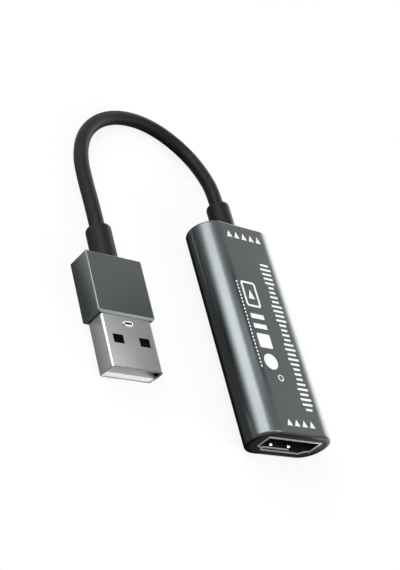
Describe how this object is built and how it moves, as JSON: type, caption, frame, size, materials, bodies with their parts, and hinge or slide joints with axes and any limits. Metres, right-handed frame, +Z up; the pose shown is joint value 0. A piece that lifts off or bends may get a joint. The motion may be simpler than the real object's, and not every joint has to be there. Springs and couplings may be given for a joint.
{
  "type": "video capture box",
  "caption": "Small flat-oval aluminium box with a video socket in one end and a short round cable from the other end to a flat rectangular plug.",
  "frame": {"origin": "middle of the box's flat underside, on the surface that the box lies on", "axes": "+Y along the box from the video socket's mouth to the end that the cable leaves; +X across the box, with the plug lying on the -X side; +Z up"},
  "size_m": [0.052, 0.0842, 0.0096],
  "materials": {
    "anodised_aluminium": "fine satin anodised grey",
    "cap_plastic": "matt dark grey",
    "nickel_shell": "satin nickel plate",
    "socket_plastic": "matt black",
    "gold_contact": "gold flash",
    "board_laminate": "green solder mask",
    "chip_plastic": "moulded black",
    "tinned_metal": "bright tin",
    "crystal_can": "satin can",
    "ferrite": "dull grey",
    "capacitor_ceramic": "tan ceramic",
    "resistor_ceramic": "black glaze",
    "cable_rubber": "matt black",
    "plug_white_plastic": "matt white",
    "frame_plastic": "matt black",
    "wire_red": "satin",
    "wire_white": "satin",
    "wire_green": "satin",
    "wire_black": "satin"
  },
  "bodies": {
    "root": {"body_sleeve": "anodised_aluminium", "plug_housing": "anodised_aluminium", "front_cap": "cap_plastic", "rear_cap": "cap_plastic", "socket_shell": "nickel_shell", "plug_shell": "nickel_shell", "socket_insulator": "socket_plastic", "socket_contacts_upper": "gold_contact", "socket_contacts_lower": "gold_contact", "plug_contacts": "gold_contact", "circuit_board": "board_laminate", "capture_chip": "chip_plastic", "memory_chip": "chip_plastic", "voltage_regulator": "chip_plastic", "surge_protectors": "chip_plastic", "chip_leads": "tinned_metal", "component_terminals": "tinned_metal", "solder_joints": "tinned_metal", "plug_solder_joints": "tinned_metal", "crystal": "crystal_can", "power_inductor": "ferrite", "ceramic_capacitors": "capacitor_ceramic", "resistors": "resistor_ceramic", "body_boot": "cable_rubber", "cable_end_body": "cable_rubber", "cable": "cable_rubber", "cable_end_plug": "cable_rubber", "plug_boot": "cable_rubber", "plug_insulator": "plug_white_plastic", "plug_inner_frame": "frame_plastic", "core_wire_red": "wire_red", "plug_wire_red": "wire_red", "core_wire_white": "wire_white", "plug_wire_white": "wire_white", "core_wire_green": "wire_green", "plug_wire_green": "wire_green", "core_wire_black": "wire_black", "plug_wire_black": "wire_black"}
  },
  "joints": []
}
